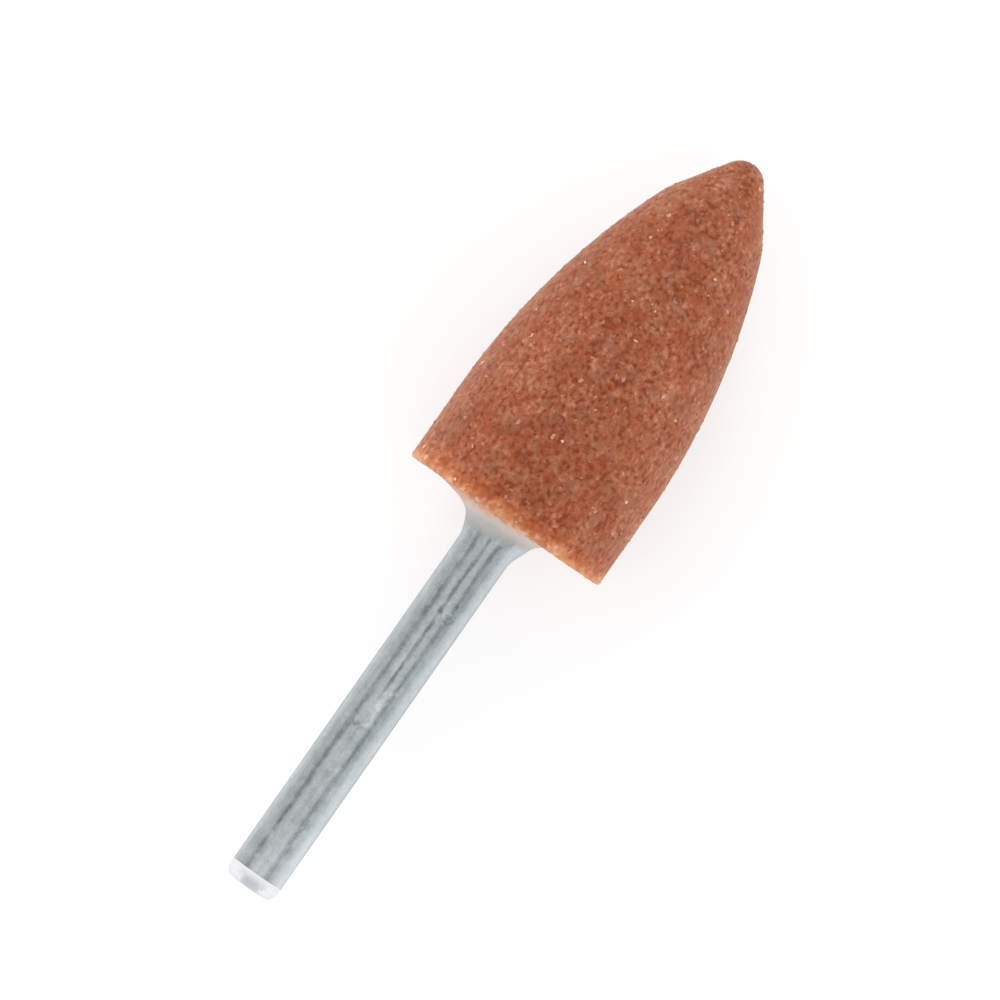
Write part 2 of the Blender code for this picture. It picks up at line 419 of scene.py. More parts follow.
def makeHead():
    look = abrasiveHead
    spacing = look["meshSpacing"]
    rowSpacing = spacing * 0.87     # for triangles of nearly equal sides
    socket, depth = look["socketRadius"], look["socketDepth"]
    count = look["socketCount"]
    rings = [(depth, 0.0, 1, 0), (depth, socket, count, 0), (0.0, socket, count, 0)]
    skin = evenPoints([(0.0, socket), (0.0, headRadius - look["baseEdgeRadius"])], rowSpacing)[1:-1]
    skin += evenPoints(headOutline(), rowSpacing)
    for i, (height, radius) in enumerate(skin[:-1]):
        rings.append((height, radius, max(6, round(2 * pi * radius / spacing)), i % 2 / 2))
    rings.append((headLength, 0.0, 1, 0))
    piece = turnedPiece("abrasiveHeadSkin", rings)

    # the relief's share at each vertex: none in the socket and under the collar, little at the rim
    places = np.empty(len(piece.data.vertices) * 3, np.float32)
    piece.data.vertices.foreach_get("co", places)
    x, y, z = (places.reshape(-1, 3) / mm).T
    height = x - basePlane
    outward = np.hypot(y, z - axisHeight)
    underCollar = (height < 0.05) & (outward < 9.0)
    inBore = (height < depth + 0.1) & (outward < socket + 0.1)
    calmReach, least = look["rimRelief"]
    fromRim = np.hypot(height, outward - headRadius)
    relief = np.where(inBore | underCollar, 0.0, np.clip(fromRim / calmReach, least, 1.0))
    share = piece.data.attributes.new("reliefShare", "FLOAT", "POINT")
    share.data.foreach_set("value", relief.astype(np.float32))
    sinkPores(piece)
    putOn(piece, firedAlumina(), "abrasive_head")
    return piece


# Crystals: whole grains that stand a little proud of the dressed skin and catch the light.
looseCrystals = {
    "seed": 36,
    "count": 1900,
    "shapes": 14,
    "corners": 11,
    "size": (0.4, 0.8),
    "stretch": (0.9, 1.5),
    "flatness": 0.75,               # height as a share of width
    "proud": 0.028,                 # height above the skin
    "cutAt": 0.3,                   # where dressing cut the lump, as a share of its half width
    "cutLeaves": 0.12,              # of what stood above the cut
    "tilt": 0.07,
    "collarRim": (7.1, 1.8),        # none within this radius on the base, and so much more at +Y
    "offEdge": 0.3,                 # none this near to the rim of the base
    # the palest tones are partly pale grains and partly painted glints
    "tones": [
        (0.0, "#8f4a2c"),
        (0.5, "#a05d43"),
        (0.85, "#b1715a"),
        (0.95, "#c08468"),
        (0.98, "#d09a80"),
        (1.0, "#e8bfac"),
    ],
}


def crystalShapes(draw):
    # convex lumps with flat facets, as crushed alumina breaks, cut flat on top
    look = looseCrystals
    shapes = []
    for _ in range(look["shapes"]):
        lump = bmesh.new()
        for _ in range(look["corners"]):
            point = Vector([draw.gauss(0, 1) for _ in range(3)]).normalized()
            top = point.z * look["flatness"]
            if top > look["cutAt"]:
                top = look["cutAt"] + look["cutLeaves"] * (top - look["cutAt"])
            lump.verts.new(Vector((point.x * draw.uniform(*look["stretch"]), point.y, top)))
        bmesh.ops.convex_hull(lump, input=lump.verts)
        loose = [v for v in lump.verts if not v.link_faces]
        bmesh.ops.delete(lump, geom=loose, context="VERTS")
        lump.verts.index_update()
        shapes.append(([v.co.copy() for v in lump.verts], [[v.index for v in f.verts] for f in lump.faces]))
        lump.free()
    return shapes


def clearAlumina():
    # Clear to amber alumina crystals, crushed: smooth glassy facets that glint.
    material = emptyMaterial("clearAlumina", "#d3a08a")
    tree = material.node_tree
    island = addNode(tree, "ShaderNodeNewGeometry").outputs["Random Per Island"]
    # the palest crystals are partly painted glints
    colour = addNode(tree, "ShaderNodeValToRGB", {0: island})
    setRamp(colour, looseCrystals["tones"])
    place = addNode(tree, "ShaderNodeTexCoord").outputs["Object"]
    flaws = addNode(tree, "ShaderNodeTexNoise", {"Vector": place, "Scale": 1 / (0.15 * mm), "Detail": 2.0})
    rough = addNode(tree, "ShaderNodeMapRange", {"Value": flaws, "To Min": 0.5, "To Max": 0.75})
    # the same painted highlight along the rim of the base
    rimLight, _ = rimPaintedHighlight(tree, place)
    rimmed = addNode(tree, "ShaderNodeMix", {
        0: 1.0, 6: colour, 7: rimLight}, data_type="RGBA", blend_type="ADD")
    shader = addNode(tree, "ShaderNodeBsdfPrincipled", {
        "Base Color": rimmed,
        "Roughness": rough,
        "IOR": 1.76,
        "Specular IOR Level": 0.28,
    })
    addNode(tree, "ShaderNodeOutputMaterial", {0: shader})
    return material


def seatsOnSkin(head):
    # the vertices of the head that a crystal may stand on
    look = looseCrystals
    clear, clearMore = look["collarRim"]
    seats = []
    for v in head.data.vertices:
        height, sideways = v.co.x / mm - basePlane, v.co.y / mm
        radius = hypot(sideways, v.co.z / mm - axisHeight)
        beyondCollar = radius > clear + clearMore * sideways / max(radius, 1.0)
        outsideSocket = radius > abrasiveHead["socketRadius"] + 0.1
        beyondSocket = height > abrasiveHead["socketDepth"] + 2.0
        onSide = beyondSocket or (height > abrasiveHead["baseEdgeRadius"] and outsideSocket)
        if (onSide or beyondCollar) and hypot(height, radius - headRadius) > look["offEdge"]:
            seats.append(v)
    return seats


def makeCrystals(head):
    look = looseCrystals
    draw = random.Random(look["seed"])
    shapes = crystalShapes(draw)
    seats = seatsOnSkin(head)
    points, faces = [], []
    for _ in range(look["count"]):
        seat = draw.choice(seats)
        size = draw.uniform(*look["size"]) * mm / 2
        upright = seat.normal.to_track_quat("Z", "X").to_matrix()
        turn = upright @ Matrix.Rotation(draw.uniform(0, 2 * pi), 3, "Z")
        lean, roll = draw.gauss(0, look["tilt"]), draw.gauss(0, look["tilt"])
        tilt = Matrix.Rotation(lean, 3, "X") @ Matrix.Rotation(roll, 3, "Y")
        centre = seat.co + seat.normal * (look["proud"] * mm - size * look["cutAt"])
        corners, sides = draw.choice(shapes)
        first = len(points)
        points += [centre + turn @ tilt @ (corner * size) for corner in corners]
        faces += [[first + k for k in side] for side in sides]
    mesh = bpy.data.meshes.new("grainCrystals")
    mesh.from_pydata(points, [], faces)
    mesh.update()
    putOn(newObject("grainCrystals", mesh), clearAlumina(), None)


# Shank: a round steel pin, drawn and zinc plated, with a turned bright end.
steelShank = {
    "radius": 3.175,
    "tailRadial": 0.9,
    "tailAxial": 1.25,
    "flatRings": (0.7, 1.4, 2.0),   # radii of the rings of vertices on the flat of the end
    "brightLength": 1.85,
    "groove": (0.06, 0.015),        # half the width and the depth of the turned line beside the bright end
    "count": 160,
    "rowSpacing": 0.6,
    "knurlBands": ((4.4, 8.95), (11.55, 16.9)),
    "knurlTeeth": 24,
    "knurlDepth": 0.22,
    "neck": (9.45, 11.05, 0.35),
    "endChamfer": 0.5,
    "markDepth": 0.02,
    "marksEnd": -4.2,               # the marks are cut in the mesh up to here, just before the cement
    "zinc": "#b4babb",
    "zincDark": "#747c7e",
    "zincPale": "#dce2e5",
    # for the painted bluish reflection along the -Y side of the pin
    "zincBlue": "#b8c1c7",
    "bright": "#f9fafb",
    "brightGrey": "#bcc2c6",
    # drawing marks, partly painted reflection along the pin: place round the pin in mm of arc from the top,
    # width, strength, start and end height
    "streaks": [
        (-1.42, 0.3, 0.48, -49.0, -2.3),
        (-0.12, 0.16, 0.18, -37.0, -19.0),
        (-0.08, 0.22, 0.64, -24.0, -2.3),
        (1.13, 0.27, 0.44, -49.0, -2.3),
        (4.3, 0.2, 0.5, -46.0, -5.0),
        (-4.4, 0.2, 0.5, -40.0, -2.3),
        (5.2, 0.14, 0.6, -48.0, -12.0),
        (-5.9, 0.27, 0.6, -48.0, -2.3),
        (7.4, 0.24, 0.5, -44.0, -2.3),
        (9.2, 0.2, 0.6, -48.0, -8.0),
        (-8.1, 0.24, 0.5, -48.0, -15.0),
    ],
    "fades": (3.0, 0.6),            # over what length a mark fades out at its start and its end
    # tone round the pin, partly as the die left it and partly painted reflection, paler towards both sides:
    # mm of arc from the top, dark (+) or pale (-)
    "bands": [
        (-9.97, 0.1), (-7.6, -0.15), (-6.0, 0.25), (-4.2, -0.5), (-3.4, -0.3), (-2.9, -0.05), (-2.2, 0.24),
        (-1.2, 0.26), (-0.5, 0.02), (-0.1, 0.16), (0.45, 0.02), (1.0, 0.28), (1.6, 0.3), (2.1, 0.02),
        (2.8, -0.42), (3.4, -0.62), (4.2, -0.4), (6.0, 0.2), (8.0, -0.15), (9.97, 0.1),
    ],
    # rubbed patches: height, arc, half length, half width, pale (+) or dark (-) in dabs and all over
    "rubbed": [
        (-25.4, 0.5, 3.6, 0.75, 0.8, 0.05),
        (-32.5, 0.4, 2.4, 0.6, 0.6, 0.0),
        (-41.5, 1.3, 3.0, 0.5, 0.6, 0.0),
        (-46.5, 3.0, 7.0, 1.7, 0.15, 0.34),
        (-46.5, 0.1, 5.0, 1.2, 0.15, 0.26),
        (-36.0, 2.2, 6.0, 1.0, 0.2, 0.12),
        (-36.0, -4.6, 3.0, 0.8, 0.7, 0.1),
        (-15.0, 5.6, 2.6, 0.9, -0.7, -0.1),
        (-21.0, -7.6, 3.5, 1.0, 0.8, 0.1),
    ],
    "dabSize": 0.62,
    "dabShade": 0.55,
    "rubbedOff": 0.3,               # how much of the drawing marks a rubbed patch hides
    # nicks and hooked scratches: height, arc, radius of the hook (0 for a dot), width,
    # which way the hook bulges in degrees (0 is towards the head), pale (+) or dark (-)
    "nicks": [
        (-12.1, 0.95, 0.95, 0.32, 180, -0.34),
        (-12.4, 0.95, 0.42, 0.34, -50, 0.36),
        (-12.5, 1.15, 0.0, 0.3, 0, -0.35),
        (-12.1, -0.1, 0.0, 0.45, 0, -0.2),
        (-11.2, 0.95, 0.5, 0.3, -30, -0.22),
        (-10.9, 1.3, 0.0, 0.5, 0, -0.25),
        (-12.8, -0.1, 0.0, 0.6, 0, 0.3),
        (-11.2, -0.1, 0.0, 0.8, 0, 0.3),
        (-27.9, -0.8, 0.0, 0.48, 0, -0.8),
        (-27.7, -0.55, 0.0, 0.4, 0, -0.35),
        (-27.8, 0.15, 0.0, 0.4, 0, -0.35),
        (-22.95, 0.85, 0.0, 0.42, 0, 0.6),
        (-22.6, 1.25, 0.0, 0.38, 0, 0.55),
        (-30.7, -3.47, 0.0, 0.35, 0, 0.5),
        (-25.7, 3.44, 0.0, 0.3, 0, -0.5),
        (-22.5, 3.8, 0.0, 0.4, 0, -0.5),
        (-46.0, -1.45, 0.0, 0.5, 0, 0.55),
        (-43.2, -1.4, 0.0, 0.75, 0, 0.5),
        (-45.9, 0.3, 0.0, 0.32, 0, -0.35),
        (-17.0, -6.4, 0.7, 0.22, 120, -0.5),
        (-38.5, 6.9, 0.6, 0.22, -60, -0.5),
    ],
    "nickShake": 0.8,               # how far the nicks are pushed out of shape in all
    # fine lines round the pin: height, width, strength, start and end of arc
    "ringLines": [(-18.0, 0.07, 0.25, -1.6, 0.6), (-27.9, 0.22, 0.16, -0.2, 1.8)],
    "ringSkew": 0.12,
    "dieLines": 0.6,                # spacing of the fine lines of the die, drawn coarser than real
    "cloudSize": 1.5,
    "zincGrain": 0.3,               # the crystals of the zinc, drawn coarser than real
    "contrasts": (0.15, 0.27, 0.1),     # of the die's lines, the clouds and the zinc's grain
    "ringFeed": 0.16,               # spacing of the tool's rings on the turned end, drawn coarser than real
    "topReflection": (4.9, 2.7, 5.0),       # of the painted grey reflection on top of the bright end: where it ends and is full, off the middle, and how far clouds move it
}


def shankShape(height, radius, turn):
    # shallow drawing marks on the exposed pin, and straight knurls on the bonded end
    look = steelShank
    for start, end in look["knurlBands"]:
        if start <= height <= end:
            tooth = abs((turn * look["knurlTeeth"] / (2 * pi)) % 1.0 - 0.5) * 2
            return onAxis(height, radius - look["knurlDepth"] * tooth, turn)
    marksStart = look["brightLength"] + 0.1 - shankExposed
    if marksStart < height < look["marksEnd"] and radius > look["radius"] - 0.001:
        arc = ((turn + pi) % (2 * pi) - pi) * look["radius"]
        for centre, width, strength, start, end in look["streaks"]:
            if start < height < end:
                radius -= look["markDepth"] * strength * exp(-((arc - centre) / width) ** 2)
    return onAxis(height, radius, turn)


def steelPattern(tree, place):
    # the colour and dullness of the plated pin, which also shows through the thin toe of the cement
    look = steelShank
    axis = fromAxis(tree, place)
    swing = addNode(tree, "ShaderNodeMath", {0: axis["sideways"], 1: -1.0}, operation="MULTIPLY")
    turn = addNode(tree, "ShaderNodeMath", {0: swing, 1: axis["rise"]}, operation="ARCTAN2")
    arc = addNode(tree, "ShaderNodeMath", {0: turn, 1: look["radius"]}, operation="MULTIPLY")
    along = addNode(tree, "ShaderNodeMath", {
        0: axis["lengthways"], 1: 1 / mm, 2: -basePlane}, operation="MULTIPLY_ADD")

    # drawing marks, partly painted reflection: dark lines along the pin, a little ragged along their edges,
    # and fainter in places
    drawn = addNode(tree, "ShaderNodeVectorMath", {0: place, 1: (0.45, 1.0, 1.0)}, operation="MULTIPLY")
    ragged = addNode(tree, "ShaderNodeTexNoise", {
        "Vector": drawn, "Scale": 1 / (0.5 * mm), "Detail": 1.0, "Roughness": 0.5})
    raggedness = addNode(tree, "ShaderNodeMapRange", {
        "Value": ragged, **noiseSpan, "To Min": -0.3, "To Max": 0.3})
    worn = addNode(tree, "ShaderNodeTexNoise", {
        "Vector": drawn, "Scale": 1 / (0.9 * mm), "Detail": 2.0, "Roughness": 0.6})
    wornShare = addNode(tree, "ShaderNodeMapRange", {
        "Value": worn, "From Min": 0.36, "From Max": 0.56, "To Min": 0.55, "To Max": 1.0})
    fadeIn, fadeOut = look["fades"]
    dark = 0.0
    for centre, width, strength, start, end in look["streaks"]:
        edge = addNode(tree, "ShaderNodeMath", {
            0: distanceFrom(tree, arc, centre), 1: 1 / width, 2: raggedness}, operation="MULTIPLY_ADD")
        mark = addNode(tree, "ShaderNodeMapRange", {
            "Value": edge, "From Min": 1.5, "From Max": 0.25, "To Max": strength},
            interpolation_type="SMOOTHSTEP")
        begin = addNode(tree, "ShaderNodeMapRange", {
            "Value": along, "From Min": start, "From Max": start + fadeIn})
        stop = addNode(tree, "ShaderNodeMapRange", {
            "Value": along, "From Min": end, "From Max": end - fadeOut})
        within = addNode(tree, "ShaderNodeMath", {0: begin, 1: stop}, operation="MULTIPLY")
        dark = addNode(tree, "ShaderNodeMath", {0: mark, 1: within, 2: dark}, operation="MULTIPLY_ADD")
    dark = addNode(tree, "ShaderNodeMath", {0: dark, 1: wornShare}, operation="MULTIPLY")

    # rubbed patches: soft dabs that break the drawing marks, and an even shade over them
    dabs = addNode(tree, "ShaderNodeTexNoise", {
        "Vector": place, "Scale": 1 / (look["dabSize"] * mm), "Detail": 1.0})
    dab = addNode(tree, "ShaderNodeMapRange", {
        "Value": dabs, "From Min": 0.42, "From Max": 0.64}, interpolation_type="SMOOTHSTEP")
    rubbed = wiped = covered = 0.0
    for height, where, halfLength, halfWidth, shade, evenShade in look["rubbed"]:
        lengthwise = addNode(tree, "ShaderNodeMath", {
            0: along, 1: 1 / halfLength, 2: -height / halfLength}, operation="MULTIPLY_ADD")
        roundwise = addNode(tree, "ShaderNodeMath", {
            0: arc, 1: 1 / halfWidth, 2: -where / halfWidth}, operation="MULTIPLY_ADD")
        spot = addNode(tree, "ShaderNodeCombineXYZ", {0: lengthwise, 1: roundwise})
        reach = addNode(tree, "ShaderNodeVectorMath", {0: spot}, operation="LENGTH")
        inside = addNode(tree, "ShaderNodeMapRange", {
            "Value": reach, "From Min": 1.4, "From Max": 0.4}, interpolation_type="SMOOTHSTEP")
        rubbed = addNode(tree, "ShaderNodeMath", {0: inside, 1: -shade, 2: rubbed}, operation="MULTIPLY_ADD")
        wiped = addNode(tree, "ShaderNodeMath", {
            0: inside, 1: -evenShade, 2: wiped}, operation="MULTIPLY_ADD")
        covered = addNode(tree, "ShaderNodeMath", {0: covered, 1: inside}, operation="MAXIMUM")
    dabbed = addNode(tree, "ShaderNodeMath", {0: rubbed, 1: dab}, operation="MULTIPLY")
    kept = addNode(tree, "ShaderNodeMath", {
        0: covered, 1: -look["rubbedOff"], 2: 1.0}, operation="MULTIPLY_ADD")
    marks = addNode(tree, "ShaderNodeMath", {0: dark, 1: kept}, operation="MULTIPLY")
    total = addNode(tree, "ShaderNodeMath", {
        0: dabbed, 1: look["dabShade"], 2: marks}, operation="MULTIPLY_ADD")
    total = addNode(tree, "ShaderNodeMath", {0: total, 1: wiped}, operation="ADD")

    # nicks: a dot, or the half of a ring that faces one way, all of them a little out of shape
    flat = addNode(tree, "ShaderNodeCombineXYZ", {0: along, 1: arc})
    bends = addNode(tree, "ShaderNodeTexNoise", {"Vector": place, "Scale": 1 / (0.6 * mm), "Detail": 1.0})
    shake = look["nickShake"]
    shaken = addNode(tree, "ShaderNodeVectorMath", {
        0: bends.outputs["Color"], 1: (shake, shake, 0.0), 2: flat}, operation="MULTIPLY_ADD")
    for height, where, bend, width, facing, shade in look["nicks"]:
        offset = addNode(tree, "ShaderNodeVectorMath", {
            0: shaken, 1: (height + shake / 2, where + shake / 2, 0.0)}, operation="SUBTRACT")
        reach = addNode(tree, "ShaderNodeVectorMath", {0: offset}, operation="LENGTH")
        nick = addNode(tree, "ShaderNodeMapRange", {
            "Value": distanceFrom(tree, reach, bend), "From Min": width, "From Max": 0.0, "To Max": -shade},
            interpolation_type="SMOOTHSTEP")
        side = (cos(radians(facing)), sin(radians(facing)), 0.0)
        towards = addNode(tree, "ShaderNodeVectorMath", {0: offset, 1: side}, operation="DOT_PRODUCT")
        kept = addNode(tree, "ShaderNodeMapRange", {
            "Value": towards, "From Min": -0.3 * bend, "From Max": 0.4 * bend,
            "To Min": 0.0 if bend else 1.0})
        total = addNode(tree, "ShaderNodeMath", {0: nick, 1: kept, 2: total}, operation="MULTIPLY_ADD")

    # fine lines across the top, slightly askew
    askew = addNode(tree, "ShaderNodeMath", {
        0: arc, 1: -look["ringSkew"], 2: along}, operation="MULTIPLY_ADD")
    for height, width, strength, start, end in look["ringLines"]:
        middle, halfSpan = (start + end) / 2, (end - start) / 2
        line = addNode(tree, "ShaderNodeMapRange", {
            "Value": distanceFrom(tree, askew, height),
            "From Min": width * 1.6, "From Max": width * 0.4, "To Max": strength})
        within = addNode(tree, "ShaderNodeMapRange", {
            "Value": distanceFrom(tree, arc, middle),
            "From Min": halfSpan + 0.3, "From Max": halfSpan - 0.3})
        total = addNode(tree, "ShaderNodeMath", {0: line, 1: within, 2: total}, operation="MULTIPLY_ADD")

    # the bands round the pin, partly left by the die and partly painted reflection, and a painted shade line
    # in the groove at the edge of the bright end
    girth = 2 * pi * look["radius"]
    roundShare = addNode(tree, "ShaderNodeMath", {0: arc, 1: 1 / girth, 2: 0.5}, operation="MULTIPLY_ADD")
    bands = addNode(tree, "ShaderNodeFloatCurve", {"Value": roundShare})
    curve = bands.mapping.curves[0]
    tones = [(where / girth + 0.5, 0.5 + tone / 2) for where, tone in look["bands"]]
    curve.points[0].location, curve.points[1].location = tones[0], tones[-1]
    for tone in tones[1:-1]:
        curve.points.new(*tone)
    bands.mapping.update()
    bandDark = addNode(tree, "ShaderNodeMath", {0: bands, 1: 2.0, 2: -1.0}, operation="MULTIPLY_ADD")
    brightEdge = look["brightLength"] - shankExposed
    # a painted shade line in the groove at the edge of the bright end
    lip = addNode(tree, "ShaderNodeMapRange", {
        "Value": along, "From Min": brightEdge + 0.3, "From Max": brightEdge + 0.05, "To Max": 0.2})
    for part in (bandDark, lip):
        total = addNode(tree, "ShaderNodeMath", {0: total, 1: part}, operation="ADD")

    # fine lines of the die, drawn out lengthwise, and the cloudy, grainy zinc coat
    stretched = addNode(tree, "ShaderNodeVectorMath", {0: place, 1: (0.06, 1.0, 1.0)}, operation="MULTIPLY")
    lines = addNode(tree, "ShaderNodeTexNoise", {
        "Vector": stretched, "Scale": 1 / (look["dieLines"] * mm), "Detail": 3.0, "Roughness": 0.6})
    clouds = addNode(tree, "ShaderNodeTexNoise", {
        "Vector": place, "Scale": 1 / (look["cloudSize"] * mm), "Detail": 4.0, "Roughness": 0.7})
    grains = addNode(tree, "ShaderNodeTexNoise", {
        "Vector": place, "Scale": 1 / (look["zincGrain"] * mm), "Detail": 1.0})
    for part, contrast in zip((lines, clouds, grains), look["contrasts"]):
        shade = addNode(tree, "ShaderNodeMapRange", {
            "Value": part, **noiseSpan, "To Min": contrast, "To Max": -contrast}, clamp=False)
        total = addNode(tree, "ShaderNodeMath", {0: total, 1: shade}, operation="ADD")

    # a painted bluish reflection along the -Y side of the pin
    blueShare = addNode(tree, "ShaderNodeMapRange", {
        "Value": arc, "From Min": 1.2, "From Max": 3.2, "To Max": 0.9})
    colour = addNode(tree, "ShaderNodeMix", {
        0: blueShare, 6: linear(look["zinc"]), 7: linear(look["zincBlue"])}, data_type="RGBA")
    for full, shade in ((1.0, "zincDark"), (-1.0, "zincPale")):
        share = addNode(tree, "ShaderNodeMapRange", {"Value": total, "From Max": full})
        colour = addNode(tree, "ShaderNodeMix", {
            0: share, 6: colour, 7: linear(look[shade])}, data_type="RGBA")
    dullness = addNode(tree, "ShaderNodeMapRange", {
        "Value": clouds, **noiseSpan, "To Min": 0.42, "To Max": 0.55})
    return {"colour": colour, "roughness": dullness, "lines": lines, "clouds": clouds, "along": along}


def zincSteel():
    # Cold-drawn mild steel with a thin dull zinc coat: satin and grey, with lengthwise drawing
    # marks, partly painted reflection, and a few scuffs. The end was turned afterwards and is bright bare
    # metal.
    look = steelShank
    material = emptyMaterial("zincSteel", look["zinc"])
    tree = material.node_tree
    place = addNode(tree, "ShaderNodeTexCoord").outputs["Object"]
    steel = steelPattern(tree, place)
    brightEdge = look["brightLength"] - shankExposed
    cut = addNode(tree, "ShaderNodeMapRange", {
        "Value": steel["along"], "From Min": brightEdge + 0.09, "From Max": brightEdge - 0.09},
        interpolation_type="SMOOTHSTEP")
    axis = fromAxis(tree, place)

    # rings from the turning tool, followed round the edge by radius less length
    profile = addNode(tree, "ShaderNodeMath", {
        0: axis["radius"], 1: axis["lengthways"]}, operation="SUBTRACT")
    rings = addNode(tree, "ShaderNodeTexNoise", {
        "W": profile, "Scale": 1 / (look["ringFeed"] * mm), "Detail": 1.0}, noise_dimensions="1D")
    ringShade = addNode(tree, "ShaderNodeMapRange", {
        "Value": rings, "From Min": 0.35, "From Max": 0.65, "To Max": 0.3})

    # a painted reflection: grey along the top of the bright end, as if it mirrored something dark above
    reflectionEnd, reflectionFull, cloudReach = look["topReflection"]
    offMiddle = addNode(tree, "ShaderNodeMath", {0: axis["sideways"]}, operation="ABSOLUTE")
    clouded = addNode(tree, "ShaderNodeMath", {
        0: steel["clouds"], 1: cloudReach * mm, 2: offMiddle}, operation="MULTIPLY_ADD")
    topReflection = addNode(tree, "ShaderNodeMapRange", {
        "Value": clouded, "From Min": reflectionEnd * mm, "From Max": reflectionFull * mm},
        interpolation_type="SMOOTHSTEP")
    onTop = addNode(tree, "ShaderNodeMapRange", {
        "Value": axis["rise"], "From Min": 0.5 * mm, "From Max": 1.7 * mm, "To Max": 0.9})
    lowDown = addNode(tree, "ShaderNodeMapRange", {
        "Value": steel["along"], "From Min": brightEdge - 0.2, "From Max": brightEdge - 1.0, "To Min": 0.3})
    onSide = addNode(tree, "ShaderNodeMapRange", {
        "Value": axis["radius"], "From Min": 1.9 * mm, "From Max": 2.3 * mm})
    for part in (onTop, lowDown, onSide):
        topReflection = addNode(tree, "ShaderNodeMath", {0: topReflection, 1: part}, operation="MULTIPLY")
    greyShare = addNode(tree, "ShaderNodeMath", {0: topReflection, 1: ringShade}, operation="MAXIMUM")
    turned = addNode(tree, "ShaderNodeMix", {
        0: greyShare, 6: linear(look["bright"]), 7: linear(look["brightGrey"])}, data_type="RGBA")
    turnedRough = addNode(tree, "ShaderNodeMapRange", {
        "Value": rings, **noiseSpan, "To Min": 0.42, "To Max": 0.3})

    colour = addNode(tree, "ShaderNodeMix", {0: cut, 6: steel["colour"], 7: turned}, data_type="RGBA")
    rough = addNode(tree, "ShaderNodeMix", {0: cut, 2: steel["roughness"], 3: turnedRough})
    grooves = addNode(tree, "ShaderNodeMix", {0: cut, 2: steel["lines"], 3: rings})
    bump = addNode(tree, "ShaderNodeBump", {"Strength": 0.3, "Distance": 0.02 * mm, "Height": grooves})
    shader = addNode(tree, "ShaderNodeBsdfPrincipled", {
        "Base Color": colour,
        "Metallic": 1.0,
        "Roughness": rough,
        "Normal": bump,
    })
    addNode(tree, "ShaderNodeOutputMaterial", {0: shader})
    return material


def makeShank():
    look = steelShank
    radius = look["radius"]
    outline = [(-shankExposed, ring) for ring in look["flatRings"]]
    tailSteps = 10
    for i in range(tailSteps + 1):
        angle = pi / 2 * i / tailSteps
        outline.append((
            -shankExposed + look["tailAxial"] * (1 - cos(angle)),
            radius - look["tailRadial"] * (1 - sin(angle)),
        ))
    groove = -shankExposed + look["brightLength"]
    halfWidth, depth = look["groove"]
    outline += [(groove - halfWidth, radius), (groove, radius - depth), (groove + halfWidth, radius)]
    rows = round((-groove - 0.3) / look["rowSpacing"])
    outline += [(groove + 0.3 + (-groove - 0.3) * i / rows, radius) for i in range(rows + 1)]

    # the bonded end: knurl, neck and knurl, with a short run-out beside each band
    runOut = 0.4
    neckStart, neckEnd, neckDepth = look["neck"]
    neck = [(neckStart + neckDepth, radius - neckDepth), (neckEnd - neckDepth, radius - neckDepth)]
    for (start, end), after in zip(look["knurlBands"], (neck, [])):
        outline += [(start - runOut, radius), (start, radius), (end, radius), (end + runOut, radius)]
        outline += after
    chamfer = look["endChamfer"]
    outline += [(shankBonded - chamfer, radius), (shankBonded, radius - chamfer)]
    rings = [(-shankExposed, 0.0, 1, 0)]
    rings += [(height, ring, look["count"], 0) for height, ring in outline]
    rings.append((shankBonded, 0.0, 1, 0))
    piece = turnedPiece("steelShank", rings, shankShape)
    putOn(piece, zincSteel(), "shank")


# Cement: the collar that squeezed out round the shank, its film on the base, and the bond inside.
cementCollar = {
    # side view of the collar, from its toe on the shank to its rim on the base: height, radius
    "profile": [
        (-4.3, 3.166), (-3.9, 3.19), (-3.5, 3.26), (-3.14, 3.37), (-2.47, 3.66), (-1.81, 3.94),
        (-1.14, 4.35), (-0.62, 5.05), (-0.3, 5.85), (-0.13, 6.35), (-0.04, 6.65), (0.02, 6.8), (0.08, 6.95),
    ],
    "smoothing": 6,                 # how often the profile is rounded off
    "lean": 0.47,                   # how much more of it squeezed out at the +Y side
    # how its rim wavers, all over and at the base only: height, number round the shank, phase
    "waves": [(0.16, 3, 1.0), (0.1, 5, 2.2), (0.06, 9, 0.4)],
    "rimWaves": [(0.12, 14, 2.0), (0.1, 23, 1.1)],
    "rootRadius": 3.17,             # about which it wavers
    "boreRadii": (3.19, 3.185, 3.16),   # at the shank's inner end, just outside the head and at the toe
    "bondRadius": 3.825,
    "bondGap": 0.05,
    "count": 144,
    "clearHeights": (-2.45, -1.6),  # the steel shows through below the first and not above the second
    "clearWaver": 1.1,
    "cloud": (1.4, 1.1),            # size of the clouds, and how far they move the tones
    "blots": (0.8, 3.0),            # the same of the blots by the head
    "grit": 0.3,                    # the cement's own grit, drawn coarser than real
    "tones": [                      # by distance from the axis: grey at the toe, pinker and more orange towards its rim by the head
        (3.5, "#a8a7a5"),
        (4.2, "#b8b5b2"),
        (5.1, "#cdbfb9"),
        (6.0, "#d2ab9b"),
        (6.7, "#cf9678"),
        (7.8, "#c78760"),
    ],
    "caughtGrain": "#e6cdc1",
}


def collarShape(height, radius, turn):
    # the rim wavers a little, and leans to the +Y side the nearer it comes to the base
    look = cementCollar
    if height > 0.081 or radius < look["boreRadii"][0]:
        return onAxis(height, radius, turn)
    wave, rimWave = (
        sum(high * sin(number * turn + phase) for high, number, phase in look[waves])
        for waves in ("waves", "rimWaves"))
    wave += rimWave * max(0.0, 1 + height / 0.3)
    lean = look["lean"] * (0.1 - sin(turn)) * max(0.0, 1 + height / 1.8)
    root = look["rootRadius"]
    return onAxis(height, root + (radius - root) * (1.0 + 0.2 * wave + lean), turn)


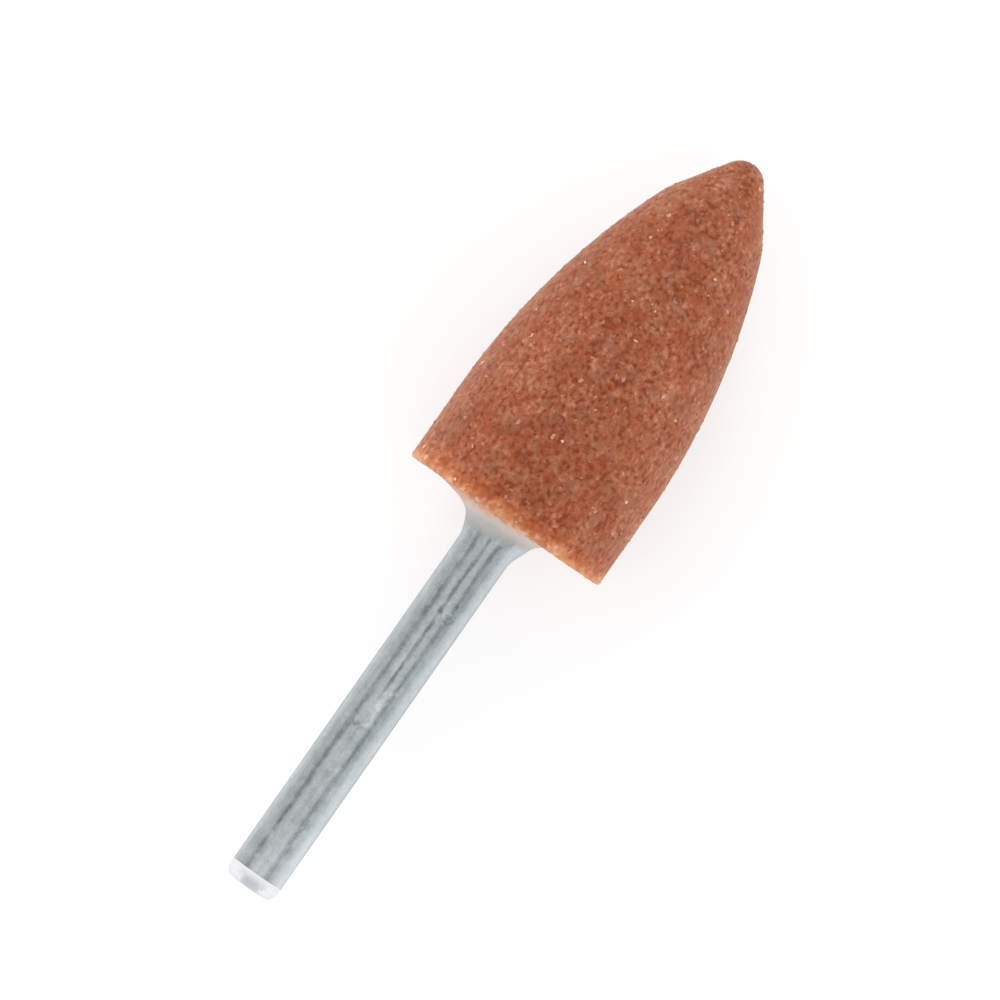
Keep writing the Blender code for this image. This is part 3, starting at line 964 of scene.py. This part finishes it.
def castCement():
    # Off-white bonding cement, squeezed out and smoothed while wet: a soft satin surface, so thin
    # at the toe that the grey steel shows through, and warmer where it lies thick by the head.
    look = cementCollar
    material = emptyMaterial("castCement", "#c2bcb6")
    tree = material.node_tree
    place = addNode(tree, "ShaderNodeTexCoord").outputs["Object"]
    steel = steelPattern(tree, place)
    axis = fromAxis(tree, place)
    (cloudSize, cloudReach), (blotSize, blotReach) = look["cloud"], look["blots"]
    cloud = addNode(tree, "ShaderNodeTexNoise", {
        "Vector": place, "Scale": 1 / (cloudSize * mm), "Detail": 4.0, "Roughness": 0.6})
    cloudShift = addNode(tree, "ShaderNodeMath", {
        0: cloud, 1: cloudReach * mm, 2: -cloudReach / 2 * mm}, operation="MULTIPLY_ADD")
    thickness = addNode(tree, "ShaderNodeMath", {0: axis["radius"], 1: cloudShift}, operation="ADD")
    blots = addNode(tree, "ShaderNodeTexNoise", {
        "Vector": place, "Scale": 1 / (blotSize * mm), "Detail": 1.0})
    blotShift = addNode(tree, "ShaderNodeMath", {
        0: blots, 1: blotReach * mm, 2: -blotReach / 2 * mm}, operation="MULTIPLY_ADD")
    byBase = addNode(tree, "ShaderNodeMapRange", {
        "Value": axis["radius"], "From Min": 4.6 * mm, "From Max": 5.6 * mm})
    thickness = addNode(tree, "ShaderNodeMath", {
        0: blotShift, 1: byBase, 2: thickness}, operation="MULTIPLY_ADD")
    thinnest, thickest = look["tones"][0][0], look["tones"][-1][0]
    share = addNode(tree, "ShaderNodeMapRange", {
        "Value": thickness, "From Min": thinnest * mm, "From Max": thickest * mm})
    paste = addNode(tree, "ShaderNodeValToRGB", {0: share})
    setRamp(paste, [((reach - thinnest) / (thickest - thinnest), tone) for reach, tone in look["tones"]])

    # pale grains of the head, caught in the rim
    caught = addNode(tree, "ShaderNodeTexNoise", {
        "Vector": place, "Scale": 1 / (0.5 * mm), "Detail": 1.0})
    grain = addNode(tree, "ShaderNodeMapRange", {
        "Value": caught, "From Min": 0.5, "From Max": 0.7}, interpolation_type="SMOOTHSTEP")
    rim = addNode(tree, "ShaderNodeMapRange", {
        "Value": thickness, "From Min": 5.2 * mm, "From Max": 6.2 * mm, "To Max": 0.5})
    grainShare = addNode(tree, "ShaderNodeMath", {0: grain, 1: rim}, operation="MULTIPLY")
    stained = addNode(tree, "ShaderNodeMix", {
        0: grainShare, 6: paste, 7: linear(look["caughtGrain"])}, data_type="RGBA")

    # how much of the steel the cement hides
    clear, hidden = look["clearHeights"]
    waver = look["clearWaver"]
    askew = addNode(tree, "ShaderNodeMath", {
        0: axis["sideways"], 1: 0.2 / mm, 2: steel["along"]}, operation="MULTIPLY_ADD")
    wavering = addNode(tree, "ShaderNodeMath", {0: cloud, 1: waver, 2: askew}, operation="MULTIPLY_ADD")
    cover = addNode(tree, "ShaderNodeMapRange", {
        "Value": wavering, "From Min": clear + waver / 2, "From Max": hidden + waver / 2},
        interpolation_type="SMOOTHSTEP")
    colour = addNode(tree, "ShaderNodeMix", {0: cover, 6: steel["colour"], 7: stained}, data_type="RGBA")
    bare = addNode(tree, "ShaderNodeMath", {0: 1.0, 1: cover}, operation="SUBTRACT")
    grit = addNode(tree, "ShaderNodeTexNoise", {
        "Vector": place, "Scale": 1 / (look["grit"] * mm), "Detail": 2.0})
    bump = addNode(tree, "ShaderNodeBump", {"Strength": 0.12, "Distance": 0.05 * mm, "Height": grit})
    satin = addNode(tree, "ShaderNodeMapRange", {"Value": cloud, "To Min": 0.4, "To Max": 0.6})
    rough = addNode(tree, "ShaderNodeMix", {0: cover, 2: steel["roughness"], 3: satin})
    shader = addNode(tree, "ShaderNodeBsdfPrincipled", {
        "Base Color": colour,
        "Metallic": bare,
        "Roughness": rough,
        "IOR": 1.5,
        "Subsurface Weight": 0.2,
        "Subsurface Radius": (0.6, 0.45, 0.4),
        "Subsurface Scale": 0.5 * mm,
        "Normal": bump,
    })
    addNode(tree, "ShaderNodeOutputMaterial", {0: shader})
    return material


def makeCement():
    look = cementCollar
    bond = look["bondRadius"]
    boreEnd = shankBonded + look["bondGap"]
    bondEnd = abrasiveHead["socketDepth"] - look["bondGap"]
    side = np.array(evenPoints(look["profile"], 0.12))
    for _ in range(look["smoothing"]):
        side[1:-1] = (side[:-2] + 2 * side[1:-1] + side[2:]) / 4
    outline = list(zip((boreEnd, -3.0, side[0][0]), look["boreRadii"]))
    outline += [tuple(point) for point in side[1:]]
    outline += [(0.09, bond), (bondEnd, bond)]
    rings = [(boreEnd, 0.0, 1, 0)]
    rings += [(height, radius, look["count"], 0) for height, radius in outline]
    rings.append((bondEnd, 0.0, 1, 0))
    piece = turnedPiece("cementCollar", rings, collarShape)
    putOn(piece, castCement(), "cement")


# Studio: a white floor, an even white surround, a long softbox along each side and a lamp at each end.
studio = {
    "surround": 0.88,
    "floorSize": 6.0,               # in m
    "floorGlow": 0.6,               # to the camera, where its paint adds the rest up to white
    "floorMirrored": 0.55,          # in the steel
    "floorPaint": "#b3b3b3",
    "floorBounce": "#e6e6e6",
    # name, place in m, size in m, power in W, and whether shiny surfaces mirror it
    "lamps": [
        ("leftSoftbox", (0.0, 0.42, 0.05), (0.5, 0.085), 0.6, False),
        ("rightSoftbox", (0.0, -0.42, 0.05), (0.5, 0.085), 0.7, False),
        ("tailLamp", (-0.46, 0.1, 0.14), (0.3, 0.14), 0.3, False),
        ("tipLamp", (0.42, 0.2, 0.22), (0.16, 0.16), 0.4, True),
    ],
    "cameraHeight": 1500.0,         # above the tool's axis
    "cameraPlace": (2.29, 1.71),
    "frameWidth": 110.86,
    "sensorWidth": 36.0,
    "imageTurn": -55.0,
}


def seenDirectly(tree):
    # 1 for rays of the camera, also by way of a mirror or glass, and 0 for light on its way to the object
    path = addNode(tree, "ShaderNodeLightPath")
    seen = path.outputs["Is Camera Ray"]
    for ray in ("Is Glossy Ray", "Is Transmission Ray"):
        seen = addNode(tree, "ShaderNodeMath", {0: seen, 1: path.outputs[ray]}, operation="MAXIMUM")
    return path, seen


def makeFloor():
    # White backdrop paper, smooth and matt: even and white, but for the object's own soft shadow.
    material = emptyMaterial("floorPaper", "#ffffff")
    tree = material.node_tree
    path, seen = seenDirectly(tree)
    lift = addNode(tree, "ShaderNodeMapRange", {
        "Value": path.outputs["Is Camera Ray"],
        "To Min": studio["floorMirrored"], "To Max": studio["floorGlow"]})
    glow = addNode(tree, "ShaderNodeEmission", {"Color": linear("#ffffff"), "Strength": lift})
    paper = addNode(tree, "ShaderNodeBsdfDiffuse", {"Color": linear(studio["floorPaint"])})
    bounce = addNode(tree, "ShaderNodeBsdfDiffuse", {"Color": linear(studio["floorBounce"])})
    shown = addNode(tree, "ShaderNodeAddShader", {0: glow, 1: paper})
    mixed = addNode(tree, "ShaderNodeMixShader", {0: seen, 1: bounce, 2: shown})
    addNode(tree, "ShaderNodeOutputMaterial", {0: mixed})
    mesh = bpy.data.meshes.new("floor")
    half = studio["floorSize"] / 2
    corners = [(-half, -half, 0), (half, -half, 0), (half, half, 0), (-half, half, 0)]
    mesh.from_pydata(corners, [], [(0, 1, 2, 3)])
    mesh.materials.append(material)
    floor = newObject("floor", mesh)


def makeSurround():
    world = bpy.data.worlds.new("surround")
    world.use_nodes = True
    tree = world.node_tree
    tree.nodes.clear()
    _, seen = seenDirectly(tree)
    strength = addNode(tree, "ShaderNodeMapRange", {
        "Value": seen, "To Min": studio["surround"], "To Max": 1.0})
    white = addNode(tree, "ShaderNodeBackground", {"Color": linear("#ffffff"), "Strength": strength})
    addNode(tree, "ShaderNodeOutputWorld", {0: white})
    bpy.context.scene.world = world


def makeLamps():
    for name, place, size, power, mirrored in studio["lamps"]:
        lamp = bpy.data.lights.new(name, "AREA")
        lamp.shape = "RECTANGLE"
        lamp.size, lamp.size_y = size
        lamp.energy = power
        softbox = newObject(name, lamp)
        softbox.location = place
        aim = Vector((0.0, 0.0, axisHeight * mm)) - softbox.location
        softbox.rotation_euler = aim.to_track_quat("-Z", "Y").to_euler()
        softbox.visible_glossy = mirrored


def makeCamera():
    lens = bpy.data.cameras.new("camera")
    lens.sensor_width = studio["sensorWidth"]
    lens.lens = studio["sensorWidth"] * studio["cameraHeight"] / studio["frameWidth"]
    lens.clip_end = 10.0
    camera = newObject("camera", lens)
    x, y = studio["cameraPlace"]
    camera.location = (x * mm, y * mm, (axisHeight + studio["cameraHeight"]) * mm)
    camera.rotation_euler = (0.0, 0.0, radians(studio["imageTurn"]))
    bpy.context.scene.camera = camera


headSkin = makeHead()
makeCrystals(headSkin)
makeShank()
makeCement()
makeFloor()
makeSurround()
makeLamps()
makeCamera()
bpy.context.scene.view_settings.view_transform = "Standard"
print("studio and camera in place")

bpy.context.view_layer.update()
